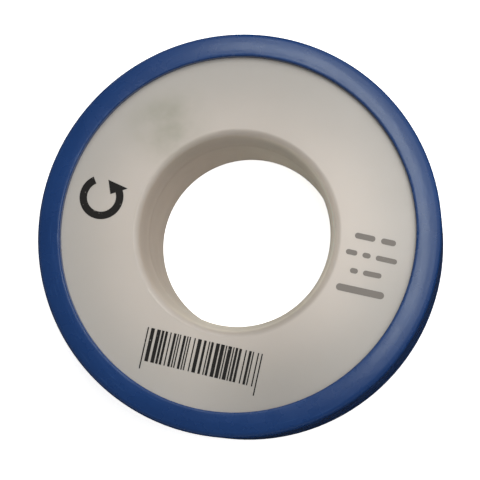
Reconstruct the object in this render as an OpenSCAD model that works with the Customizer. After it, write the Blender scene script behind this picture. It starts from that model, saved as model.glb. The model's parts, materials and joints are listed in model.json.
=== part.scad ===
// Thread seal tape roll: a white spool, the tape wound on it and a blue cover ring that pulls off the front.
// It lies flat with its axis along +Z and its front face up. The origin is on the axis, on the back face.
// All lengths are in millimetres.

/* [Spool] */
// Diameter of the bore through the hub
bore_d = 25; // [20:0.5:32]
// Wall of the hub tube
hub_wall = 1.2; // [0.9:0.1:2]
// How far both flanges stand out past the full winding
flange_margin = 3.75; // [2:0.25:8]
// Thickness of the front flange
front_flange_t = 0.7; // [0.5:0.05:1.5]
// Thickness of the rear flange
rear_flange_t = 0.7; // [0.5:0.05:1.5]
// Depth of the step at the hub's back end, which the rear flange is pressed onto
seat_step = 0.5; // [0.3:0.05:0.6]
// How far past the hub's outside the front face starts to turn down into the bore
bore_mouth_out = 0.5; // [0.4:0.1:0.6]
// Round where the front face turns down into the bore
bore_mouth_round = 1; // [0.8:0.1:1.2]
// Slope of the cone between that round and the bore, in degrees from the front face
bore_mouth_slope = 70; // [60:1:78]
// Chamfer at the back end of the bore
bore_back_chamfer = 0.3; // [0.1:0.05:0.4]
// Round on the rims of both flanges
flange_rim_round = 0.2; // [0.05:0.01:0.24]

/* [Tape] */
// Width of the tape
tape_w = 12; // [9:0.5:19]
// Thickness of the tape
tape_t = 0.075; // [0.05:0.005:0.1]
// Length of the tape
tape_length = 12000; // [5000:500:15000]
// Gap between each edge of the tape and the flange beside it
tape_side_gap = 0.15; // [0.1:0.05:0.5]
// Gap between the hub and the first turn, which lets the winding turn on the hub
tape_hub_gap = 0.08; // [0.05:0.01:0.1]
// How far the free end of the last turn stands off the winding
tape_end_lift = 0.4; // [0.1:0.1:1]

/* [Cover ring] */
// Gap between the flanges' rims and the inside of the ring
ring_play = 0.6; // [0.2:0.05:0.8]
// Wall of the ring's band
ring_wall = 1.3; // [1.1:0.1:2]
// How far the ring's lip laps over the front flange
lip_lap = 1.45; // [1:0.05:2.5]
// Height of the lip's crest over the front face
lip_h = 0.9; // [0.7:0.05:1.6]
// Radius of the crowned top of the lip
lip_crown_r = 6.5; // [5:0.5:10]
// How far the crown's highest line lies from the lip's inner edge
lip_crown_in = 0.3; // [0.2:0.1:1.6]
// Round between the lip's crown and the outside of the band
lip_outer_round = 1; // [0.4:0.1:1.2]
// Chamfer between the lip's crown and its inner edge
lip_inner_chamfer = 0.15; // [0.1:0.05:0.6]
// Gap between the ring's back edge and the plane that the spool rests on
ring_foot_gap = 0.2; // [0.1:0.05:0.5]
// Round on the outside of the ring's back edge
ring_foot_round = 0.6; // [0.2:0.1:0.7]
// Chamfer on the inside of the ring's back edge, which leads the ring onto the flanges
ring_foot_chamfer = 0.35; // [0.1:0.05:0.4]

/* [Hidden] */
$fn = 128;

spool_color = "#e9e4da";
ring_color = "#1f4a9c";
tape_color = "#f6f5f1";

// How far a cut runs past the face that it cuts
overrun = 0.4;
// Length of the lines that bound the crown, as a share of the crown's radius
crown_reach_share = 2;
// Points on the outline of the last turn of tape
turn_points = 144;
// How sharply the free end lifts: the lift follows this power of the share of the turn
end_lift_power = 10;

// Hub
bore_r = bore_d / 2;
hub_r = bore_r + hub_wall;
seat_r = hub_r - seat_step;

// Tape: the area of the wound strip's edge gives the winding's outer radius
tape_in_r = hub_r + tape_hub_gap;
tape_out_r = sqrt(pow(tape_in_r, 2) + tape_length * tape_t / PI);
tape_z = rear_flange_t + tape_side_gap;

// Flanges and the channel between them
flange_r = tape_out_r + flange_margin;
channel_w = tape_w + 2 * tape_side_gap;
face_z = rear_flange_t + channel_w + front_flange_t;

// Mouth of the bore, as radius and height in the spool's section: the round's centre and the cone's two ends
mouth_round_at = [hub_r + bore_mouth_out, face_z - bore_mouth_round];
cone_top = mouth_round_at + bore_mouth_round * [-sin(bore_mouth_slope), cos(bore_mouth_slope)];
cone_foot = [bore_r, cone_top[1] - (cone_top[0] - bore_r) * tan(bore_mouth_slope)];

// Cover ring, as radius and height in its section
ring_in_r = flange_r + ring_play;
ring_out_r = ring_in_r + ring_wall;
lip_in_r = flange_r - lip_lap;
crest_z = face_z + lip_h;
crown_at = [lip_in_r + lip_crown_in, crest_z - lip_crown_r];
outer_round_at = round_in_crown(ring_out_r - lip_outer_round, lip_outer_round);
crown_reach = crown_reach_share * lip_crown_r;

// Centre of a round of radius r that touches the crown from inside, at radius x from the axis
function round_in_crown(x, r) =
    [x, crown_at[1] + sqrt(pow(lip_crown_r - r, 2) - pow(x - crown_at[0], 2))];

// Radius of the last turn's outside, from its start at share 0 to its free end at share 1
function last_turn_r(turn_share) =
    tape_out_r + tape_t * turn_share + tape_end_lift * pow(turn_share, end_lift_power);

// Section of a flange whose rim is rounded on both sides, from radius inner_r outwards
module flange_section(inner_r, thickness) {
    rim_r = flange_r - flange_rim_round;
    translate([inner_r, 0])
        square([rim_r - inner_r, thickness]);
    translate([rim_r, flange_rim_round])
        square([flange_rim_round, thickness - 2 * flange_rim_round]);
    for (z = [flange_rim_round, thickness - flange_rim_round])
        translate([rim_r, z])
            circle(flange_rim_round);
}

// What a round of radius r takes off a section's corner. The corner is at the origin and the solid lies at
// positive x and negative y
module round_waste(r) {
    difference() {
        translate([-overrun, -r])
            square([r + overrun, r + overrun]);
        translate([r, -r])
            circle(r);
    }
}

// What a chamfer takes off a section's corner. The corner is at the origin and the solid lies at positive x
// and y
module chamfer_waste(size) {
    polygon([
        [-overrun, -overrun],
        [size + overrun, -overrun],
        [-overrun, size + overrun]
    ]);
}

// Section of the ring before it is hollowed: a block with a crowned top and a round that runs into the crown
module crowned_section() {
    to_round = outer_round_at - crown_at;
    polygon([
        [lip_in_r, ring_foot_gap],
        [ring_out_r, ring_foot_gap],
        [ring_out_r, outer_round_at[1]],
        outer_round_at,
        crown_at,
        [lip_in_r, crown_at[1]]
    ]);
    translate(outer_round_at)
        circle(lip_outer_round);
    intersection() {
        translate(crown_at)
            circle(lip_crown_r);
        polygon([
            [lip_in_r, crown_at[1]],
            crown_at,
            crown_at + crown_reach * to_round / norm(to_round),
            [lip_in_r, crown_at[1] + crown_reach]
        ]);
    }
}

// What the bore's mouth takes off the spool's section: all above the cone and outside the round
module mouth_waste() {
    difference() {
        polygon([
            [bore_r - overrun, cone_foot[1]],
            cone_foot,
            cone_top,
            mouth_round_at,
            [mouth_round_at[0], face_z + overrun],
            [bore_r - overrun, face_z + overrun]
        ]);
        translate(mouth_round_at)
            circle(bore_mouth_round);
    }
}

// Front flange and hub in one moulding, with the bore's open mouth and the rear flange's seat
module spool_body() {
    color(spool_color)
        rotate_extrude()
            difference() {
                union() {
                    translate([bore_r, 0])
                        square([seat_r - bore_r, face_z]);
                    translate([bore_r, rear_flange_t])
                        square([hub_wall, channel_w + front_flange_t]);
                    translate([0, face_z - front_flange_t])
                        flange_section(bore_r, front_flange_t);
                }
                mouth_waste();
                translate([bore_r, 0])
                    chamfer_waste(bore_back_chamfer);
            }
}

// Plain disc that closes the back of the spool, pressed onto the step at the hub's end
module rear_flange() {
    color(spool_color)
        rotate_extrude()
            flange_section(seat_r, rear_flange_t);
}

// Band around the tape with a crowned lip over the front flange, open at the back
module cover_ring() {
    color(ring_color)
        rotate_extrude()
            difference() {
                crowned_section();
                translate([lip_in_r - overrun, ring_foot_gap - overrun])
                    square([ring_in_r - lip_in_r + overrun, face_z - ring_foot_gap + overrun]);
                translate([ring_out_r, ring_foot_gap])
                    rotate(180)
                        round_waste(ring_foot_round);
                translate([ring_in_r, ring_foot_gap])
                    chamfer_waste(ring_foot_chamfer);
                translate([lip_in_r, crest_z])
                    rotate(-90)
                        chamfer_waste(lip_inner_chamfer);
            }
}

// The wound tape: a solid winding whose last turn ends in a free edge
module tape() {
    color(tape_color)
        translate([0, 0, tape_z])
            difference() {
                linear_extrude(tape_w)
                    polygon([
                        for (i = [0 : turn_points])
                            let (turn_share = i / turn_points)
                            last_turn_r(turn_share) * [cos(360 * turn_share), sin(360 * turn_share)]
                    ]);
                translate([0, 0, -overrun])
                    cylinder(r = tape_in_r, h = tape_w + 2 * overrun);
            }
}

spool_body();
rear_flange();
cover_ring();
tape();
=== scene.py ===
"""Looks of the thread seal tape roll.

Finishes for its moulded solids, the wound tape and the print on its front face.
"""

import json
import math
import random

import bmesh
import bpy
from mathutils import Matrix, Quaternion, Vector


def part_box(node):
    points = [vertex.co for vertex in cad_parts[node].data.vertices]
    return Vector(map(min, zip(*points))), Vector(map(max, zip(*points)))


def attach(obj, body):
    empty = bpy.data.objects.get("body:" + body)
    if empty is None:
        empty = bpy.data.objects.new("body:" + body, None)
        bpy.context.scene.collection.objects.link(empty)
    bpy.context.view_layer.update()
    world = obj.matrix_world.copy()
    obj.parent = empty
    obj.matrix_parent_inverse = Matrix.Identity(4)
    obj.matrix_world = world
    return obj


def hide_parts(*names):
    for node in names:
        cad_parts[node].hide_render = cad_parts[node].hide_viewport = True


MM = 0.001
TURN = 2 * math.pi
UP = Vector((0, 0, 1))
# Mask that takes the height out of a place
FLAT = Vector((1, 1, 0))

# Photograph and its camera
PHOTO_PX = 480
PHOTO_MIDDLE_PX = PHOTO_PX / 2
FOCAL_PX = 1560.15
SENSOR_MM = 36
CAMERA_TURN = Vector((0.1419, 0.1425, 0))
CAMERA_OFFSET_MM = Vector((-1.391, 0.892, 223.113))
CAMERA_NEAREST = 10 * MM

# Winding
TAPE_IN_R = 13.78 * MM
TAPE_OUT_R = 21.82 * MM
TAPE_LAYER = 0.075 * MM
TAPE_LAYER_PITCH = 0.085 * MM
TAPE_END_LIFT = 0.36 * MM
TAPE_END_POWER = 12
TAPE_END_SLANT = math.radians(2.5)
TAPE_LOOSE_TURNS = 1.6
TAPE_RIPPLE = 0.012 * MM
TAPE_RIPPLES_PER_TURN = 9
TAPE_EDGE_BANDS = 36
TAPE_EDGE_DRAW = 0.12 * MM
TAPE_SEED = 5
TURN_STEPS = 160
SHEET_ROWS = 8

# Print on the front face, placed by pixels of the photograph
INK_LIFT = 0.002 * MM
INK_FILM = 0.012 * MM
BAR_CORNER_PX = (148, 327)
BAR_ALONG_PX = (263, 354)
BAR_DOWN_PX = (140.5, 360)
BAR_MODULES = 95
BAR_WIDTHS = (1, 1, 1, 2, 2, 3)
BAR_GAPS = (1, 1, 1, 2, 2, 3)
BAR_GUARD_SHARE = 1.25
BAR_SEED = 21
RULE_ROWS_PX = (
    ((355, 235), (396, 244)),
    ((346, 251), (397, 262.5)),
    ((350, 270), (381.5, 276.5)),
    ((336, 286), (384, 296.5)),
)
RULE_THICKNESSES = (0.78 * MM, 0.7 * MM, 0.7 * MM, 0.95 * MM)
RULE_WORD_SHARES = ((0.58, 0.42), (0.28, 0.2, 0.52), (0.3, 0.7), (1,))
RULE_END_STEPS = 10
ARROW_MIDDLE_PX = (101.5, 197)
ARROW_EDGE_PX = (123.5, 197)
ARROW_BAND_SHARE = 0.34
ARROW_FROM = math.radians(112)
ARROW_SWEEP = math.radians(265)
ARROW_HEAD_SWEEP = math.radians(52)
ARROW_HEAD_SHARE = 0.24
ARROW_STEPS = 56

# Noise that several finishes share: sizes of features, layers of finer detail and the span of values in use
CLOUD_SIZE = 12 * MM
PATCH_SIZE = 3 * MM
GRAIN_SIZE = 0.3 * MM
GRAIN_DEPTH = 0.006 * MM
DRAWN_STRETCH = 40
LOW_DETAIL = 2
FAIR_DETAIL = 3
HIGH_DETAIL = 4
MIDDLE_SPAN = (0.25, 0.75)

# Spool plastic. All colours in this script are linear
# Painted shade: the face is paler by the hub and darker towards the rim, out past the winding
SPOOL_BY_HUB = (0.567, 0.513, 0.456, 1)
SPOOL_RIM_PAINTED_SHADE = (0.455, 0.426, 0.387, 1)
SPOOL_CLOUD = (0.96, 0.963, 0.96, 1)
SPOOL_ROUGHNESS = (0.34, 0.42)
FACE_SHADE_REACH = (14 * MM, 23.5 * MM)
MILKINESS = 0.25
MILK_RADIUS = (1.0, 0.85, 0.7)
MILK_SCALE = 0.9 * MM

# Spots on the face: painted shade at the bottom, a darker spot at the top and a painted highlight on the
# right
SHADE_AND_SHEEN_SPOTS_PX = ((278, 394), (262, 92), (389, 231))
SHADE_AND_SHEEN_SPOT_REACHES = (15 * MM, 17 * MM, 18 * MM)
SHADE_AND_SHEEN_SPOT_TONES = ((0.78, 0.78, 0.78, 1), (0.9, 0.9, 0.9, 1), (1.15, 1.15, 1.15, 1))

# Smudge on the face
SMUDGE_PX = (167, 124)
SMUDGE_COLOUR = (0.3, 0.29, 0.225, 1)
SMUDGE_REACH = 7.5 * MM
SMUDGE_STRENGTH = 0.9
SMUDGE_PATCH = 4.6 * MM
SMUDGE_SPAN = (0.1, 0.75)

# Bore and its mouth: distances are outwards from the bore's wall, depths are down from the face
# Painted shade and painted light in the bore: its wall is darker on the shaded side and paler on the lit side
BORE_PAINTED_SHADE = (0.56, 0.484, 0.415, 1)
BORE_SHADED_SIDE = Vector((-0.906, 0.423, 0))
BORE_SHADED_SHARES = (-0.4, 1)
BORE_PAINTED_LIGHT = (0.895, 0.84, 0.73, 1)
BORE_OUTSIDE = (1.1 * MM, 0.7 * MM)
MOUTH_DEPTHS = (4 * MM, 1.6 * MM)
# Painted shade darkens the mouth's round
MOUTH_PAINTED_SHADE = (0.77, 0.757, 0.742, 1)
MOUTH_OUTSIDE = (1.85 * MM, 1.3 * MM)
# Painted light on the lit side of the round
ROUND_LIT_TONE = (1.45, 1.45, 1.45, 1)
ROUND_LIT_SIDE = Vector((0.906, 0.423, 0))
ROUND_LIT_SHARES = (0, 1.3)
ROUND_OUTSIDE = (1.65 * MM, 0.95 * MM)
ROUND_INSIDE = (0.4 * MM, 0.9 * MM)
# Painted shade on the cone, and painted light on its lit side
CONE_PAINTED_SHADE = (0.91, 0.91, 0.91, 1)
CONE_LIT_TONE = (1.55, 1.55, 1.55, 1)
CONE_LIT_SIDE = Vector((1, 0, 0))
CONE_LIT_SHARES = (0.55, 1.1)
CONE_OUTSIDE = (0.9 * MM, 0.6 * MM)
CONE_FOOT_ROUND = 1.5 * MM
CONE_FOOT_SAMPLES = 8

# Cover plastic
COVER_BLUE = (0.006, 0.039, 0.155, 1)
COVER_DEEP = (0.0044, 0.033, 0.136, 1)
COVER_RUBBED = (0.03, 0.085, 0.24, 1)
COVER_ROUGHNESS = (0.24, 0.31)
COVER_SHINE = 0.52
COVER_SHINE_TINT = (0.93, 1, 1, 1)
LIP_EDGE_REACH = 0.4 * MM
LIP_EDGE_DEPTH = 0.12 * MM
WAVE_SIZE = 1.4 * MM
WAVE_STRETCH = 5
WAVE_DEPTH = 0.08 * MM
SCUFF_SIZE = 0.12 * MM
SCUFF_DEPTH = 0.004 * MM
WEAR_SPAN = (0.62, 0.72)
WEAR_STRENGTH = 0.45
WEAR_DROP = 1.2 * MM

# Tape
TAPE_WHITE = (0.82, 0.82, 0.8, 1)
TAPE_SHADE = (0.74, 0.74, 0.72, 1)
TAPE_ROUGHNESS = (0.5, 0.62)
TAPE_LINE_DEPTH = 0.01 * MM

# Ink
INK_BLACK = (0.012, 0.011, 0.01, 1)
INK_GREY = (0.22, 0.2, 0.178, 1)
INK_ROUGHNESS = (0.4, 0.6)
INK_SHINE = 0.15
INK_HOLES = (0.66, 0.85)

# Light, with places and sizes in metres
WORLD_COLOUR = (1, 1, 1, 1)
WORLD_DIM = 0.2
WORLD_BRIGHT = 0.95
WORLD_SIDE = Vector((0.75, 0.6, 0.28))
WORLD_TURN = (0.05, 0.8)
WORLD_RISE = (0, 0.6)
WORLD_LOW_SHARE = 0.55
LAMP_TURN = math.radians(24)
KEY_AT = Vector((0.052, 0.127, 0.33))
KEY_WIDTH = 0.135
KEY_LENGTH = 0.393
KEY_WATTS = 0.5
PANEL_AT = Vector((0.096, 0.2285, 0.36))
PANEL_WIDTH = 0.3
PANEL_LENGTH = 0.8
PANEL_WATTS = 0.76

# Floor
FLOOR_SIZE = 6
FLOOR_WHITE = (0.95, 0.95, 0.95, 1)
FLOOR_GREY = (0.9, 0.9, 0.9, 1)
# Painted shade in what the floor mirrors from close by
FLOOR_MIRROR_SHADE = (0.02, 0.02, 0.02, 1)
FLOOR_GLOW = 0.76
FLOOR_MIRROR_REACH = (60 * MM, 300 * MM)


class Nodes:
    """A tree of shader nodes that is built one step at a time."""

    def __init__(self, tree, place):
        self.tree = tree
        self.place = self.add("ShaderNodeTexCoord").outputs[place]

    def add(self, kind, **settings):
        node = self.tree.nodes.new(kind)
        for name, value in settings.items():
            setattr(node, name, value)
        return node

    def feed(self, socket, value):
        """Joins another node's output to a socket, or writes a plain value on it."""
        if isinstance(value, bpy.types.NodeSocket):
            self.tree.links.new(value, socket)
        else:
            socket.default_value = value

    def feed_in_order(self, node, values):
        for socket, value in zip(node.inputs, values):
            self.feed(socket, value)

    def math(self, operation, *values):
        node = self.add("ShaderNodeMath", operation=operation)
        self.feed_in_order(node, values)
        return node.outputs["Value"]

    def product(self, *shares):
        result = shares[0]
        for share in shares[1:]:
            result = self.math("MULTIPLY", result, share)
        return result

    def vector(self, operation, *values):
        """A node that works on vectors. Its result is its Vector output or its Value output."""
        node = self.add("ShaderNodeVectorMath", operation=operation)
        self.feed_in_order(node, values)
        return node

    def span(self, source, ends, result=(0, 1)):
        """The source between two ends, spread smoothly over the result and held at its ends outside them."""
        node = self.add("ShaderNodeMapRange", interpolation_type="SMOOTHSTEP")
        names = ("Value", "From Min", "From Max", "To Min", "To Max")
        for name, value in zip(names, (source, *ends, *result)):
            self.feed(node.inputs[name], value)
        return node.outputs["Result"]

    def along(self, direction):
        """How far the place lies along a direction."""
        return self.vector("DOT_PRODUCT", self.place, direction).outputs["Value"]

    def distance(self, point):
        return self.vector("DISTANCE", self.place, point).outputs["Value"]

    def height(self):
        return self.along(UP)

    def flat_place(self):
        return self.vector("MULTIPLY", self.place, FLAT).outputs["Vector"]

    def radius(self):
        return self.vector("LENGTH", self.flat_place()).outputs["Value"]

    def round_axis(self, radius, stretch):
        """A place in which features run round the axis, stretched that many times at that radius."""
        heading = self.vector("NORMALIZE", self.flat_place()).outputs["Vector"]
        drawn = self.vector("SCALE", heading)
        drawn.inputs["Scale"].default_value = radius / stretch
        across = self.math("ADD", self.radius(), self.height())
        lift = self.add("ShaderNodeCombineXYZ")
        self.feed(lift.inputs["Z"], across)
        return self.vector("ADD", drawn.outputs["Vector"], lift.outputs["Vector"]).outputs["Vector"]

    def noise(self, size, detail, place=None):
        """Noise whose features are about that size, between 0 and 1."""
        node = self.add("ShaderNodeTexNoise")
        self.feed(node.inputs["Vector"], place or self.place)
        node.inputs["Scale"].default_value = 1 / size
        node.inputs["Detail"].default_value = detail
        return node.outputs["Fac"]

    def mix(self, share, first, second, blend="MIX"):
        """One colour over another, by a share."""
        node = self.add("ShaderNodeMix", data_type="RGBA", blend_type=blend)
        sockets = {socket.identifier: socket for socket in node.inputs}
        self.feed(sockets["Factor_Float"], share)
        self.feed(sockets["A_Color"], first)
        self.feed(sockets["B_Color"], second)
        return next(socket for socket in node.outputs if socket.identifier == "Result_Color")

    def bump(self, height, depth, under=None):
        """Normals of a surface that is raised by a height, over the normals under it."""
        node = self.add("ShaderNodeBump")
        node.inputs["Distance"].default_value = depth
        self.feed(node.inputs["Height"], height)
        if under:
            self.feed(node.inputs["Normal"], under)
        return node.outputs["Normal"]

    def soft_edge(self, reach, samples):
        """Normals that turn smoothly round the mesh's edges, within that reach."""
        node = self.add("ShaderNodeBevel", samples=samples)
        self.feed(node.inputs["Radius"], reach)
        return node.outputs["Normal"]


class Shader(Nodes):
    """A material that is built one step at a time."""

    def __init__(self, name):
        self.material = bpy.data.materials.new(name)
        self.material.use_nodes = True
        super().__init__(self.material.node_tree, "Object")
        self.surface = self.tree.nodes["Principled BSDF"]

    def finish(self, inputs):
        """Feeds the surface's inputs by their names and gives the material."""
        for name, value in inputs.items():
            self.feed(self.surface.inputs[name], value)
        return self.material


def make_camera():
    """The photograph's camera, from a fit to the outlines of the ring, the lip and the bore."""
    data = bpy.data.cameras.new("photo_camera")
    data.sensor_width = SENSOR_MM
    data.lens = SENSOR_MM * FOCAL_PX / PHOTO_PX
    data.clip_start = CAMERA_NEAREST
    camera = bpy.data.objects.new("photo_camera", data)
    camera.rotation_mode = "QUATERNION"
    camera.rotation_quaternion = Quaternion(CAMERA_TURN.normalized(), CAMERA_TURN.length)
    camera.location = camera.rotation_quaternion @ CAMERA_OFFSET_MM * MM
    bpy.context.scene.collection.objects.link(camera)
    bpy.context.scene.camera = camera
    return camera


def on_face(camera, pixel, height):
    """The point at that height that a pixel of the photograph shows."""
    across = (pixel[0] - PHOTO_MIDDLE_PX) / FOCAL_PX
    up = (PHOTO_MIDDLE_PX - pixel[1]) / FOCAL_PX
    ray = camera.rotation_quaternion @ Vector((across, up, -1))
    return camera.location + ray * ((height - camera.location.z) / ray.z)


def add_mesh(name, mesh_maker, material):
    """A mesh object whose vertices and faces are made by a function, with one material."""
    shape = bmesh.new()
    mesh_maker(shape)
    bmesh.ops.recalc_face_normals(shape, faces=shape.faces)
    mesh = bpy.data.meshes.new(name)
    shape.to_mesh(mesh)
    shape.free()
    mesh.materials.append(material)
    piece = bpy.data.objects.new(name, mesh)
    bpy.context.scene.collection.objects.link(piece)
    return piece


def add_prism(shape, outline, low, high):
    """A closed prism over a flat outline."""
    floor = [shape.verts.new((point[0], point[1], low)) for point in outline]
    roof = [shape.verts.new((point[0], point[1], high)) for point in outline]
    shape.faces.new(floor[::-1])
    shape.faces.new(roof)
    for i in range(len(outline)):
        j = (i + 1) % len(outline)
        shape.faces.new((floor[i], floor[j], roof[j], roof[i]))


def add_lathe(shape, profile, steps):
    """A closed outline of radius and height, turned about the axis."""
    rings = []
    for step in range(steps):
        angle = TURN * step / steps
        rings.append([shape.verts.new((r * math.cos(angle), r * math.sin(angle), z)) for r, z in profile])
    for step in range(steps):
        here = rings[step]
        there = rings[(step + 1) % steps]
        for i in range(len(profile)):
            j = (i + 1) % len(profile)
            shape.faces.new((here[i], there[i], there[j], here[j]))


def edge_profile(low, high, outer_r):
    """Outline of the winding whose turns lie a little unevenly beside each other at both edges."""
    draw = random.Random(TAPE_SEED)
    band = (outer_r - TAPE_IN_R) / TAPE_EDGE_BANDS
    below = []
    above = []
    for i in range(TAPE_EDGE_BANDS):
        ends = (TAPE_IN_R + band * i, TAPE_IN_R + band * (i + 1))
        bottom = low + draw.uniform(0, TAPE_EDGE_DRAW)
        top = high - draw.uniform(0, TAPE_EDGE_DRAW)
        below += [(r, bottom) for r in ends]
        above += [(r, top) for r in ends]
    return below + above[::-1]


def loose_turn_r(share):
    """Radius of the inside of the outermost turns, from their start at share 0 to the free end at share 1."""
    start_r = TAPE_OUT_R - TAPE_LAYER_PITCH * TAPE_LOOSE_TURNS
    ripple = TAPE_RIPPLE * math.sin(TURN * TAPE_RIPPLES_PER_TURN * TAPE_LOOSE_TURNS * share)
    climb = TAPE_LAYER_PITCH * TAPE_LOOSE_TURNS * share
    return start_r + climb + TAPE_END_LIFT * share ** TAPE_END_POWER + ripple * share


def add_loose_turns(shape, low, high):
    """The outermost turns as a thin strip that ends in a free edge on the +X side."""
    steps = round(TURN_STEPS * TAPE_LOOSE_TURNS)
    sides = []
    for thickness in (0, TAPE_LAYER):
        grid = []
        for step in range(steps + 1):
            share = step / steps
            column = []
            for row in range(SHEET_ROWS + 1):
                up = row / SHEET_ROWS
                end_angle = -TAPE_END_SLANT * up * share
                angle = end_angle - TURN * TAPE_LOOSE_TURNS * (1 - share)
                r = loose_turn_r(share) + thickness
                z = low + (high - low) * up
                column.append(shape.verts.new((r * math.cos(angle), r * math.sin(angle), z)))
            grid.append(column)
        sides.append(grid)
    inner, outer = sides
    for step in range(steps):
        for row in range(SHEET_ROWS):
            for grid in sides:
                shape.faces.new(
                    (grid[step][row], grid[step + 1][row], grid[step + 1][row + 1], grid[step][row + 1])
                )
        for row in (0, SHEET_ROWS):
            shape.faces.new((inner[step][row], inner[step + 1][row], outer[step + 1][row], outer[step][row]))
    for step in (0, steps):
        for row in range(SHEET_ROWS):
            shape.faces.new((inner[step][row], inner[step][row + 1], outer[step][row + 1], outer[step][row]))


def make_tape(material):
    """The wound tape: inner turns with uneven edges under the loose outermost turns."""
    low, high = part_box("tape")
    core_r = TAPE_OUT_R - TAPE_LAYER_PITCH * (TAPE_LOOSE_TURNS + 1)

    def build(shape):
        add_lathe(shape, edge_profile(low.z, high.z, core_r), TURN_STEPS)
        add_loose_turns(shape, low.z + TAPE_EDGE_DRAW / 2, high.z - TAPE_EDGE_DRAW / 2)

    roll = add_mesh("tape_roll", build, material)
    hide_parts("tape")
    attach(roll, "winding")


def patch(camera, height, corner_px, along_px, down_px):
    """A tilted frame on the face: a function from shares along and down it to a point."""
    corner = on_face(camera, corner_px, height)
    along = on_face(camera, along_px, height) - corner
    down = on_face(camera, down_px, height) - corner
    return lambda along_share, down_share: corner + along * along_share + down * down_share


def bar_outlines(at):
    """Upright bars of chance widths, which spell nothing, between a longer bar at each end."""
    draw = random.Random(BAR_SEED)
    outlines = []
    module = 0
    while module < BAR_MODULES:
        width = min(draw.choice(BAR_WIDTHS), BAR_MODULES - module)
        at_end = module == 0 or module + width >= BAR_MODULES
        left = module / BAR_MODULES
        right = (module + width) / BAR_MODULES
        bottom = BAR_GUARD_SHARE if at_end else 1
        outlines.append([at(left, 0), at(right, 0), at(right, bottom), at(left, bottom)])
        module += width + draw.choice(BAR_GAPS)
    return outlines


def rounded_bar(start, end, thickness):
    """Outline of a bar with round ends that fills the line from start to end."""
    along = (end - start).normalized()
    aside = Vector((-along.y, along.x, 0))
    half = thickness / 2
    outline = []
    for middle, way in ((end - along * half, 1), (start + along * half, -1)):
        for step in range(RULE_END_STEPS + 1):
            angle = math.pi * step / RULE_END_STEPS
            outline.append(middle + (along * math.sin(angle) - aside * math.cos(angle)) * (half * way))
    return outline


def rule_outlines(start, end, thickness, word_shares):
    """Plain rules in a row, a thickness apart."""
    along = (end - start).normalized()
    room = (end - start).length - thickness * (len(word_shares) - 1)
    outlines = []
    done = 0
    for share in word_shares:
        length = room * share
        outlines.append(rounded_bar(start + along * done, start + along * (done + length), thickness))
        done += length + thickness
    return outlines


def arrow_outline(middle, outer_r):
    """A round arrow that shows which way the roll turns as the tape comes off."""
    inner_r = outer_r - outer_r * ARROW_BAND_SHARE

    def at(r, angle):
        return middle + Vector((r * math.cos(angle), r * math.sin(angle), 0))

    angles = [ARROW_FROM + ARROW_SWEEP * i / ARROW_STEPS for i in range(ARROW_STEPS + 1)]
    outside = [at(outer_r, angle) for angle in angles]
    inside = [at(inner_r, angle) for angle in reversed(angles)]
    head_out = outer_r * ARROW_HEAD_SHARE
    head = [
        at(outer_r + head_out, angles[-1]),
        at((outer_r + inner_r) / 2, angles[-1] + ARROW_HEAD_SWEEP),
        at(inner_r - head_out, angles[-1]),
    ]
    return outside + head + inside


def print_on_face(name, outlines, material):
    """A film of ink on the front face."""
    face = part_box("spool_body")[1].z

    def build(shape):
        for outline in outlines:
            add_prism(shape, outline, face + INK_LIFT, face + INK_LIFT + INK_FILM)

    film = add_mesh(name, build, material)
    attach(film, "spool")


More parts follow.
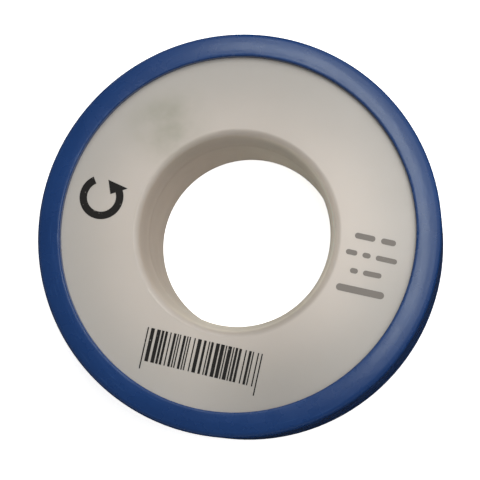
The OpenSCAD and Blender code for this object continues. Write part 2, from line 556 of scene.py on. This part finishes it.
def spool_plastic(bore_r, face_z, smudge_at, shade_and_sheen_spots_at):
    """Milky white plastic with painted shade and light: darker towards the rim, shaded and lit sides in the
    bore and its mouth, and darker and paler spots; with clouds, a smudge and a grain.
    """
    shader = Shader("spool_plastic_look")
    radius = shader.radius()

    def by_bore(distances, result=(0, 1)):
        """A share that turns over between two distances from the bore's wall."""
        return shader.span(radius, [bore_r + distance for distance in distances], result)

    def towards(side, side_shares):
        """A share that grows towards one side of the bore."""
        return shader.span(shader.along(side), [bore_r * share for share in side_shares])

    # Painted shade: darker towards the rim
    tone = shader.mix(shader.span(radius, FACE_SHADE_REACH), SPOOL_BY_HUB, SPOOL_RIM_PAINTED_SHADE)
    # Spots of painted shade and a painted highlight, and a darker spot, on the face
    for middle, reach, spot_tone in zip(shade_and_sheen_spots_at, SHADE_AND_SHEEN_SPOT_REACHES, SHADE_AND_SHEEN_SPOT_TONES):
        tone = shader.mix(shader.span(shader.distance(middle), (reach, 0)), tone, spot_tone, "MULTIPLY")

    # Painted shade and painted light: the bore is darker on one side and paler on the other
    bore_shade_and_light = shader.mix(towards(BORE_SHADED_SIDE, BORE_SHADED_SHARES), BORE_PAINTED_LIGHT, BORE_PAINTED_SHADE)
    tone = shader.mix(by_bore(BORE_OUTSIDE), tone, bore_shade_and_light)
    above_wall = shader.span(shader.height(), [face_z - depth for depth in MOUTH_DEPTHS])
    on_round = shader.product(by_bore(ROUND_OUTSIDE), by_bore(ROUND_INSIDE))
    on_cone = by_bore(CONE_OUTSIDE)
    # Painted shade on the mouth and the cone, and painted light on the lit sides of the round and the cone
    for share, shade in (
        (by_bore(MOUTH_OUTSIDE), MOUTH_PAINTED_SHADE),
        (on_cone, CONE_PAINTED_SHADE),
        (shader.product(on_round, towards(ROUND_LIT_SIDE, ROUND_LIT_SHARES)), ROUND_LIT_TONE),
        (shader.product(on_cone, towards(CONE_LIT_SIDE, CONE_LIT_SHARES)), CONE_LIT_TONE),
    ):
        tone = shader.mix(shader.product(share, above_wall), tone, shade, "MULTIPLY")

    cloud = shader.span(shader.noise(CLOUD_SIZE, HIGH_DETAIL), MIDDLE_SPAN)
    tone = shader.mix(cloud, tone, SPOOL_CLOUD, "MULTIPLY")
    near = shader.span(shader.distance(smudge_at), (0, SMUDGE_REACH), (SMUDGE_STRENGTH, 0))
    patches = shader.span(shader.noise(SMUDGE_PATCH, FAIR_DETAIL), SMUDGE_SPAN)
    soft_foot = shader.soft_edge(by_bore(CONE_OUTSIDE, (0, CONE_FOOT_ROUND)), CONE_FOOT_SAMPLES)
    return shader.finish({
        "Base Color": shader.mix(shader.product(near, patches), tone, SMUDGE_COLOUR),
        "Roughness": shader.span(shader.noise(PATCH_SIZE, HIGH_DETAIL), MIDDLE_SPAN, SPOOL_ROUGHNESS),
        "Normal": shader.bump(shader.noise(GRAIN_SIZE, FAIR_DETAIL), GRAIN_DEPTH, soft_foot),
        "Subsurface Weight": MILKINESS,
        "Subsurface Radius": MILK_RADIUS,
        "Subsurface Scale": MILK_SCALE,
    })


def cover_plastic(lip_r, ring_r, crest):
    """Blue satin plastic with an eased lip, a slight waviness, scuffs round the axis and a rubbed crest."""
    shader = Shader("cover_plastic_look")
    cloud = shader.span(shader.noise(CLOUD_SIZE, FAIR_DETAIL), MIDDLE_SPAN)
    tone = shader.mix(cloud, COVER_DEEP, COVER_BLUE)
    scuff = shader.noise(SCUFF_SIZE, FAIR_DETAIL, shader.round_axis(ring_r, DRAWN_STRETCH))
    on_crest = shader.span(shader.height(), (crest - WEAR_DROP, crest), (0, WEAR_STRENGTH))
    worn = shader.product(on_crest, shader.span(scuff, WEAR_SPAN))

    lip_edge = shader.span(shader.radius(), (lip_r - LIP_EDGE_REACH, lip_r + LIP_EDGE_REACH))
    normal = shader.bump(lip_edge, LIP_EDGE_DEPTH)
    for height, depth in (
        (shader.noise(WAVE_SIZE, LOW_DETAIL, shader.round_axis(ring_r, WAVE_STRETCH)), WAVE_DEPTH),
        (shader.noise(GRAIN_SIZE, LOW_DETAIL), GRAIN_DEPTH),
        (scuff, SCUFF_DEPTH),
    ):
        normal = shader.bump(height, depth, normal)
    return shader.finish({
        "Base Color": shader.mix(worn, tone, COVER_RUBBED),
        "Roughness": shader.span(shader.noise(PATCH_SIZE, HIGH_DETAIL), MIDDLE_SPAN, COVER_ROUGHNESS),
        "Normal": normal,
        "Specular IOR Level": COVER_SHINE,
        "Specular Tint": COVER_SHINE_TINT,
    })


def tape_film():
    """Soft white tape with fine drawn lines along its length."""
    shader = Shader("seal_tape_look")
    lines = shader.noise(GRAIN_SIZE, FAIR_DETAIL, shader.round_axis(TAPE_OUT_R, DRAWN_STRETCH))
    return shader.finish({
        "Base Color": shader.mix(shader.span(lines, MIDDLE_SPAN), TAPE_SHADE, TAPE_WHITE),
        "Roughness": shader.span(shader.noise(PATCH_SIZE, FAIR_DETAIL), MIDDLE_SPAN, TAPE_ROUGHNESS),
        "Normal": shader.bump(lines, TAPE_LINE_DEPTH),
    })


def ink(name, colour):
    """Printed ink with pinholes that let the plastic show."""
    shader = Shader(name)
    holes = shader.span(shader.noise(GRAIN_SIZE, FAIR_DETAIL), INK_HOLES)
    return shader.finish({
        "Base Color": shader.mix(holes, colour, SPOOL_RIM_PAINTED_SHADE),
        "Roughness": shader.span(shader.noise(PATCH_SIZE, FAIR_DETAIL), MIDDLE_SPAN, INK_ROUGHNESS),
        "Specular IOR Level": INK_SHINE,
    })


def floor_finish():
    """White to the camera, with painted shade in what mirrors it from close by, like the gap under a part."""
    shader = Shader("floor_look")
    path = shader.add("ShaderNodeLightPath")
    mirrored = path.outputs["Is Glossy Ray"]
    far = shader.span(path.outputs["Ray Length"], FLOOR_MIRROR_REACH)
    seen = shader.math("MAXIMUM", path.outputs["Is Camera Ray"], path.outputs["Is Transmission Ray"])
    white = shader.math("MAXIMUM", seen, shader.product(mirrored, far))
    # Painted shade: dark for what mirrors the floor from close by
    plain = shader.mix(mirrored, FLOOR_GREY, FLOOR_MIRROR_SHADE)
    diffuse = shader.add("ShaderNodeBsdfDiffuse")
    shader.feed(diffuse.inputs["Color"], shader.mix(white, plain, FLOOR_WHITE))
    glow = shader.add("ShaderNodeEmission")
    shader.feed(glow.inputs["Strength"], shader.product(white, FLOOR_GLOW))
    both = shader.add("ShaderNodeAddShader")
    shader.feed_in_order(both, (diffuse.outputs["BSDF"], glow.outputs["Emission"]))
    shader.feed(shader.tree.nodes["Material Output"].inputs["Surface"], both.outputs["Shader"])
    shader.tree.nodes.remove(shader.surface)
    return shader.material


def make_floor():
    """Plain pale floor that keeps the part's shadow."""
    half = FLOOR_SIZE / 2

    def build(shape):
        corners = ((-half, -half), (half, -half), (half, half), (-half, half))
        shape.faces.new([shape.verts.new((x, y, 0)) for x, y in corners])

    floor = add_mesh("floor", build, floor_finish())


def make_world():
    """Soft room light, brighter on one side and dimmer by the horizon."""
    world = bpy.data.worlds.new("room")
    bpy.context.scene.world = world
    world.use_nodes = True
    room = Nodes(world.node_tree, "Generated")
    by_side = room.span(room.along(WORLD_SIDE), WORLD_TURN, (WORLD_DIM, WORLD_BRIGHT))
    by_height = room.span(room.height(), WORLD_RISE, (WORLD_LOW_SHARE, 1))
    background = world.node_tree.nodes["Background"]
    background.inputs["Color"].default_value = WORLD_COLOUR
    room.feed(background.inputs["Strength"], room.product(by_side, by_height))


def add_softbox(name, at, width, length, watts):
    """A softbox overhead that faces straight down, turned about the upright axis."""
    data = bpy.data.lights.new(name, "AREA")
    data.shape = "RECTANGLE"
    data.size = width
    data.size_y = length
    data.energy = watts
    softbox = bpy.data.objects.new(name, data)
    softbox.location = at
    softbox.rotation_euler = (0, 0, LAMP_TURN)
    bpy.context.scene.collection.objects.link(softbox)


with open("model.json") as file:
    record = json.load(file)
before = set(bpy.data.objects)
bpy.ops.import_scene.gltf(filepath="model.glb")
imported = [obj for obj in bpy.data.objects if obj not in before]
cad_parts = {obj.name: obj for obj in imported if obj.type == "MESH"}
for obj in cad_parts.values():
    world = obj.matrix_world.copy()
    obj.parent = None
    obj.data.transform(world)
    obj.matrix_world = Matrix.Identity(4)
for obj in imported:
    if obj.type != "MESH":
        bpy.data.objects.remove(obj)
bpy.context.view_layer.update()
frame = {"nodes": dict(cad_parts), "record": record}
bpy.context.scene.view_settings.view_transform = "Standard"

# Camera, light and floor
camera = make_camera()
make_world()
add_softbox("key", KEY_AT, KEY_WIDTH, KEY_LENGTH, KEY_WATTS)
add_softbox("panel", PANEL_AT, PANEL_WIDTH, PANEL_LENGTH, PANEL_WATTS)
make_floor()

# Finishes of the moulded solids
bore = next(mount for mount in frame["record"]["mounts"] if mount["name"] == "bore")
bore_r = bore["dims"]["r_mm"] * MM
face_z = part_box("spool_body")[1].z
ring_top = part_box("cover_ring")[1]
lip_r = min(vertex.co.xy.length for vertex in frame["nodes"]["cover_ring"].data.vertices)
smudge_at = on_face(camera, SMUDGE_PX, face_z)
shade_and_sheen_spots_at = [on_face(camera, pixel, face_z) for pixel in SHADE_AND_SHEEN_SPOTS_PX]
spool_finish = spool_plastic(bore_r, face_z, smudge_at, shade_and_sheen_spots_at)
cover_finish = cover_plastic(lip_r, ring_top.x, ring_top.z)
for node, finish in (
    ("spool_body", spool_finish),
    ("rear_flange", spool_finish),
    ("cover_ring", cover_finish),
):
    for material_slot in frame["nodes"][node].material_slots:
        material_slot.material = finish

make_tape(tape_film())

# Print on the front face
black = ink("ink_black_look", INK_BLACK)
grey = ink("ink_grey_look", INK_GREY)
bar_patch = patch(camera, face_z, BAR_CORNER_PX, BAR_ALONG_PX, BAR_DOWN_PX)
print_on_face("print_bars", bar_outlines(bar_patch), black)
rules = []
for ends_px, thickness, word_shares in zip(RULE_ROWS_PX, RULE_THICKNESSES, RULE_WORD_SHARES):
    start, end = (on_face(camera, pixel, face_z) for pixel in ends_px)
    rules += rule_outlines(start, end, thickness, word_shares)
print_on_face("print_rules", rules, grey)
arrow_middle = on_face(camera, ARROW_MIDDLE_PX, face_z)
arrow_r = (on_face(camera, ARROW_EDGE_PX, face_z) - arrow_middle).length
print_on_face("print_arrow", [arrow_outline(arrow_middle, arrow_r)], black)
